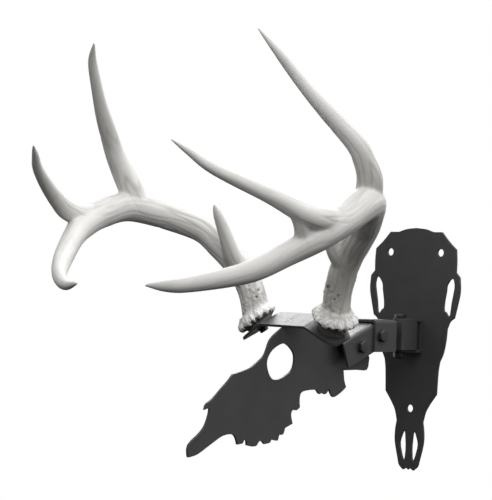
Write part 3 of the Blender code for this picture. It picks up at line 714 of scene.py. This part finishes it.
# The teeth aren't evenly spaced: how far one may wander, in teeth, and how often round the ring
TOOTH_WANDER = 1.1
WANDER_TURNS = 2.2
KNOB_SIZE = 6.5 * MM
KNOB_DROP = 11.0 * MM
KNOB_HEIGHT = 1.5 * MM
LUMP_HEIGHT = 0.5 * MM
# The burr's relief starts at this distance from its axis, and ends so far above its middle
RING_START = 17.5 * MM
RING_FADE = 5 * MM
RING_TOP = 16 * MM
RING_TOP_FADE = 8 * MM
RING_REACH = 6 * MM
# The teeth fade out above the rim, and the painted shade under the burr starts below the teeth's edge
RIM_TOP = 8 * MM
RIM_FADE = 7 * MM
SHADE_EDGE_RISE = 0.5 * MM
SHADE_EDGE_DROP = 4.5 * MM
SHADE_EDGE_FADE = 1.2 * MM


def tooth_at(around, seed):
    """How far out the ruffle stands at this angle: 1 at the point of a tooth, 0 between two."""
    wander = noise.noise(Vector((WANDER_TURNS * math.cos(around), WANDER_TURNS * math.sin(around), seed)))
    turns = (around / (2 * math.pi) * TEETH + TOOTH_WANDER * wander) % 1.0
    return (1.0 - abs(2.0 * turns - 1.0)) ** TOOTH_POINT


def knob_at(spot):
    """1 in the middle of a small cell of bone, 0 in the crack between two."""
    distances = noise.voronoi(spot)[0]
    return min(1.0, (distances[1] - distances[0]) / 0.55) ** 0.6


def add_burr(co, side, seed, height, pits_and_painted_shade):
    """Adds the teeth to the heights and painted shade under the burr to the dark marks, and returns how far
    each point is burr.
    """
    radius, middle = BURRS[side][0] * MM, BURRS[side][1] * MM
    seat, axis = burr_axis(side)
    level = (co - np.array(seat)) @ np.array(axis)
    spoke = co - np.array(seat) - level[:, None] * np.array(axis)
    away = np.linalg.norm(spoke, axis=1)
    ring = (np.clip((away - RING_START) / RING_FADE, 0, 1)
            * np.clip((middle + RING_TOP - level) / RING_TOP_FADE, 0, 1))
    first = np.array(axis.orthogonal().normalized())
    second = np.cross(np.array(axis), first)
    for v in np.nonzero((level < middle + RING_TOP) & (away < radius + RING_REACH))[0]:
        here = Vector(co[v])
        tooth = tooth_at(math.atan2(spoke[v] @ second, spoke[v] @ first), seed)
        spot = Vector(spoke[v]) * (radius / away[v] / KNOB_SIZE) + axis * (level[v] / KNOB_DROP)
        knob = knob_at(spot + Vector((seed, 0, 0)))
        lump = noise.noise(here / (0.45 * KNOB_SIZE)) + noise.noise(here / (1.6 * KNOB_SIZE))
        rim = limited((middle + RIM_TOP - level[v]) / RIM_FADE)
        out = rim * TOOTH_HEIGHT * (tooth - 0.55) + KNOB_HEIGHT * (knob - 0.6) + LUMP_HEIGHT * lump
        height[v] += ring[v] * (out - height[v])
        # Painted shade: below the wavy edge of the teeth, the burr's underside and its neck are coloured
        # dark, as if in shadow
        painted_shade_under_burr = limited((middle + SHADE_EDGE_RISE - SHADE_EDGE_DROP * tooth - level[v]) / SHADE_EDGE_FADE)
        crack = rim * max(0.0, 0.6 - 2.0 * knob)
        pits_and_painted_shade[v] = max(painted_shade_under_burr, pits_and_painted_shade[v] + ring[v] * (crack - pits_and_painted_shade[v]))
    return ring


# %% One antler
# How much brown each antler's foot gets. It is partly real stain and partly painted shade: the left
# foot, which lies in shade, gets it in full, and the lit right foot half.
FOOT_STAIN_AND_SHADE = {1: 1.0, -1: 0.5}
# The relief fades in above the sawn face, so that it stays flat on its seat
FLAT_MARGIN = 0.4 * MM
FLAT_FADE = 1.5 * MM


def point_vectors(mesh, what):
    """One vector per point of a mesh: its place or its normal."""
    values = np.empty(len(mesh.vertices) * 3)
    mesh.vertices.foreach_get(what, values)
    return values.reshape(-1, 3)


def store(mesh, name, values):
    """Keeps one number or one vector per point, for the material to read."""
    vectors = values.ndim == 2
    stored = mesh.attributes.new(name, "FLOAT_VECTOR" if vectors else "FLOAT", "POINT")
    stored.data.foreach_set("vector" if vectors else "value", np.ravel(values))


def build_antler(side, seed):
    """One antler in its final shape, with its pattern stored on its points."""
    lines = {name: branch_line(name, side) for name in BRANCHES if side > 0 or "fork" not in name}
    antler = grown_together(lines, side)
    mesh = antler.data
    co = point_vectors(mesh, "co")
    normals = point_vectors(mesh, "normal")
    blended, grain = blended_relief(co, lines, seed)
    height, furrow, pits_and_painted_shade, rough = (blended[:, k].copy() for k in range(4))
    ring = add_burr(co, side, seed, height, pits_and_painted_shade)
    seat, normal = seat_frame(side)
    level = (co - np.array(seat)) @ np.array(normal)
    flat = np.clip((level - FLAT_MARGIN) / FLAT_FADE, 0, 1)
    co += normals * (height * flat)[:, None]
    mesh.vertices.foreach_set("co", co.ravel())
    # The darkening holds the pits and cracks, and the painted shade under the burr
    for name, values in (("grain", grain), ("furrow", furrow), ("darkening", pits_and_painted_shade),
                         ("stain_and_shade", rough * FOOT_STAIN_AND_SHADE[side]), ("burr", ring)):
        store(mesh, name, values)
    mesh.update()
    mesh.shade_smooth()
    return antler


# %% [markdown]
# ### Bone
#
# Bone is pale and a little translucent at the surface. Dirt and bark stain the lower beam grey brown,
# darkest in the pits between its pearls, and the burr and the rubbed tines stay chalk white. The left
# foot's stronger brown is partly painted shade, and the burr's underside and neck are painted dark as
# shade. A painted image could hold this, but the stain follows the relief that the shape already has,
# so the colour reads the same values from the mesh's points.
# %% Antler material
CHALK = (0.76, 0.75, 0.72)
PALE_CHALK = (0.82, 0.81, 0.79)
# The foot's brown: real stain, and on the left antler painted shade as well
STAIN_AND_SHADE_BROWN = (0.56, 0.53, 0.48, 1.0)
GROOVE_BROWN = (0.32, 0.295, 0.26, 1.0)
BURR_WHITE = (0.90, 0.89, 0.87, 1.0)
# Near black for the pits and cracks, and for the painted shade under the burr
PIT_AND_SHADE_BROWN = (0.075, 0.065, 0.05, 1.0)
# Waves per metre of the streaks, across the branch twice and along it, and of the clouds and pores
STREAK_WAVES = (150.0, 150.0, 13.0)
BONE_CLOUD_WAVES = 26.0
PORE_WAVES = 800.0
STREAK_HEIGHT = 0.8 * MM
PORE_HEIGHT = 0.3 * MM


def bone_color(tree, place, streak, furrow, darkening, stain_and_shade, burr):
    """Chalk white, then the stained foot with its painted shade, the furrows, the white burr, and the dark
    pits and the painted shade under the burr over it.
    """
    cloud = texture(tree, "Noise", place, Scale=BONE_CLOUD_WAVES, Detail=4.0, Roughness=0.6)
    pale = ramp(tree, cloud.outputs["Fac"], ((0.3, CHALK), (0.7, PALE_CHALK)))
    line = ramp(tree, streak.outputs["Fac"], ((0.35, 0.72), (0.60, 1.0)))
    color = blend(tree, pale, line, 0.2, "MULTIPLY")
    # The foot's stain, stronger on the left antler as painted shade
    foot = ramp(tree, stain_and_shade, ((0.48, 0.0), (0.88, 1.0)))
    color = blend(tree, color, STAIN_AND_SHADE_BROWN, foot, strength=0.6)
    groove = ramp(tree, furrow, ((0.1, 0.0), (0.9, 1.0)))
    color = blend(tree, color, GROOVE_BROWN, groove, strength=0.4)
    color = blend(tree, color, BURR_WHITE, burr, strength=0.95)
    # The dark marks: pits and cracks, and painted shade under the burr
    speck = ramp(tree, darkening, ((0.15, 0.0), (0.7, 1.0)))
    return blend(tree, color, PIT_AND_SHADE_BROWN, speck, strength=0.85)


def antler_bone():
    """The bone's material. It reads the pattern from the points of the mesh."""
    made, tree, shader = new_material("antler_bone")
    place = add_node(tree, "ShaderNodeTexCoord").outputs["Object"]
    grain = add_node(tree, "ShaderNodeAttribute", attribute_name="grain").outputs["Vector"]
    stored = [add_node(tree, "ShaderNodeAttribute", attribute_name=name).outputs["Fac"]
              for name in ("furrow", "darkening", "stain_and_shade", "burr")]
    stretched = add_node(tree, "ShaderNodeMapping", {"Vector": grain, "Scale": STREAK_WAVES})
    streak = texture(tree, "Noise", stretched.outputs["Vector"], Scale=1.0, Detail=2.0, Roughness=0.5)
    tree.links.new(bone_color(tree, place, streak, *stored), shader.inputs["Base Color"])
    rough = ramp(tree, streak.outputs["Fac"], ((0.3, 0.46), (0.7, 0.62)))
    tree.links.new(rough, shader.inputs["Roughness"])
    shader.inputs["Subsurface Weight"].default_value = 0.04
    shader.inputs["Subsurface Radius"].default_value = (0.004, 0.0025, 0.0015)
    pore = texture(tree, "Noise", place, Scale=PORE_WAVES, Detail=3.0, Roughness=0.6)
    lines = add_node(tree, "ShaderNodeBump", {"Strength": 0.2, "Distance": STREAK_HEIGHT,
                                              "Height": streak.outputs["Fac"]})
    pores = add_node(tree, "ShaderNodeBump", {"Strength": 0.07, "Distance": PORE_HEIGHT,
                                              "Height": pore.outputs["Fac"],
                                              "Normal": lines.outputs["Normal"]})
    tree.links.new(pores.outputs["Normal"], shader.inputs["Normal"])
    return made


# %% Both antlers
bone = antler_bone()
for side, label, seed in ((1, "left", 3.0), (-1, "right", 11.0)):
    antler = build_antler(side, seed)
    finish_piece(antler, "antler_" + label + "_bone", "head", "antler_bone", bone, "antler_" + label)

# %% The antlers' screws
WING_SHEET = 3.0 * MM
SCREW_SIZE = 6 * MM
SCREW_LENGTH = 27 * MM
for side, label in ((1, "left"), (-1, "right")):
    seat, normal = seat_frame(side)
    place_fastener(flanged_screw(SCREW_SIZE, SCREW_LENGTH), "antler_screw_" + label, "head",
                   seat - (WING_SHEET + GAP) * normal, -normal)

# %% [markdown]
# ## Floor and light
#
# The room's wall of light is brightest behind it, the ceiling glows, four soft panels light it from
# above, and little light comes from the front or from below, so the tines shade from white above to
# grey beneath. The panel at the back skims over the steel's top faces. The room could be built of lit
# walls, but a world that changes with direction gives the same light with less noise, and the picture
# sees plain white in its place. The floor is a wide pale disc far below, which doesn't throw its light
# back.
# %% Floor
FLOOR_LEVEL = -8.0
FLOOR_RADIUS = 57.0
FLOOR_GLOW = 0.45
bpy.ops.object.select_all(action="DESELECT")
bpy.ops.mesh.primitive_circle_add(vertices=64, radius=FLOOR_RADIUS, fill_type="NGON",
                                  location=(0, 0, FLOOR_LEVEL))
floor = bpy.context.object
floor.name = "floor"
pale_floor, _, floor_shader = new_material("pale_floor")
floor_shader.inputs["Base Color"].default_value = (0.85, 0.85, 0.85, 1.0)
floor_shader.inputs["Roughness"].default_value = 0.9
floor_shader.inputs["Emission Color"].default_value = (1.0, 1.0, 1.0, 1.0)
floor_shader.inputs["Emission Strength"].default_value = FLOOR_GLOW
floor.data.materials.append(pale_floor)
floor.visible_diffuse = False
floor.visible_glossy = False
print("Floor %.0f m below the kit" % -FLOOR_LEVEL)

# %% Room
WALL_BEHIND = 0.85
WALL_RIGHT = 0.35
WALL_AROUND = 0.10
CEILING = 0.55
BELOW = 0.045
# A direction's height from straight down, 0, to straight up, 1, where the walls fade in and out
WALL_FOOT = (0.41, 0.43)
WALL_TOP = (0.59, 0.62)

world = bpy.data.worlds.new("white_room")
world.use_nodes = True
room = world.node_tree


def room_math(operation, *values):
    """One Math node in the room's tree."""
    return add_node(room, "ShaderNodeMath", dict(enumerate(values)), operation=operation).outputs["Value"]


def towards(direction, power):
    """How squarely a ray points along a level direction, squared and scaled."""
    dot = add_node(room, "ShaderNodeVectorMath", {0: ray, 1: tuple(direction)}, operation="DOT_PRODUCT")
    part = room_math("MAXIMUM", dot.outputs["Value"], 0.0)
    return room_math("MULTIPLY", room_math("MULTIPLY", part, part), power)


ray = add_node(room, "ShaderNodeTexCoord").outputs["Generated"]
rise = add_node(room, "ShaderNodeSeparateXYZ", {"Vector": ray}).outputs["Z"]
share = room_math("MULTIPLY_ADD", rise, 0.5, 0.5)
band = ramp(room, share, ((WALL_FOOT[0], 0.0), (WALL_FOOT[1], 1.0), (WALL_TOP[0], 1.0), (WALL_TOP[1], 0.0)))
dome = ramp(room, share, ((WALL_FOOT[0], BELOW), (WALL_FOOT[1], 0.0), (WALL_TOP[0], 0.0),
                          (WALL_TOP[1], CEILING)))
behind = Vector((-back.x, -back.y, 0)).normalized()
walls = room_math("ADD", towards(behind, WALL_BEHIND), towards(level_right, WALL_RIGHT))
walls = room_math("ADD", walls, WALL_AROUND)
lit_walls = blend(room, band, walls, 1.0, "MULTIPLY")
light = blend(room, lit_walls, dome, 1.0, "ADD")
seen = add_node(room, "ShaderNodeLightPath").outputs["Is Camera Ray"]
room.links.new(blend(room, light, (1.0, 1.0, 1.0, 1.0), seen), room.nodes["Background"].inputs["Color"])
bpy.context.scene.world = world
print("Room ready")

# %% Panels
PANEL_AIM = Vector((0, -0.25, 0.05))
# Name, place in metres, width in metres, power in watts
PANELS = (
    ("right_panel", (1.05, 0.3, 0.95), 1.1, 6.0),
    ("front_panel", (0.75, -1.1, 0.95), 1.1, 8.5),
    ("top_panel", (-0.1, 0.45, 1.5), 0.9, 14.0),
    ("back_panel", (-1.6, 1.05, 1.2), 1.1, 18.0),
)
for name, place, width, power in PANELS:
    bpy.ops.object.light_add(type="AREA", location=place)
    lamp = bpy.context.object
    lamp.name = name
    lamp.data.shape = "SQUARE"
    lamp.data.size = width
    lamp.data.energy = power
    lamp.rotation_euler = (Vector(place) - PANEL_AIM).to_track_quat("Z", "Y").to_euler()
    lamp.visible_camera = False
bpy.context.scene.view_settings.view_transform = "Standard"
print("Panels:", len(PANELS))

# %% The spacers carry the bolts' finish
for node in ("clamp_spacer_left", "clamp_spacer_right"):
    nodes[node].data.materials.clear()
    nodes[node].data.materials.append(fastener_black)
print("Spacers finished")
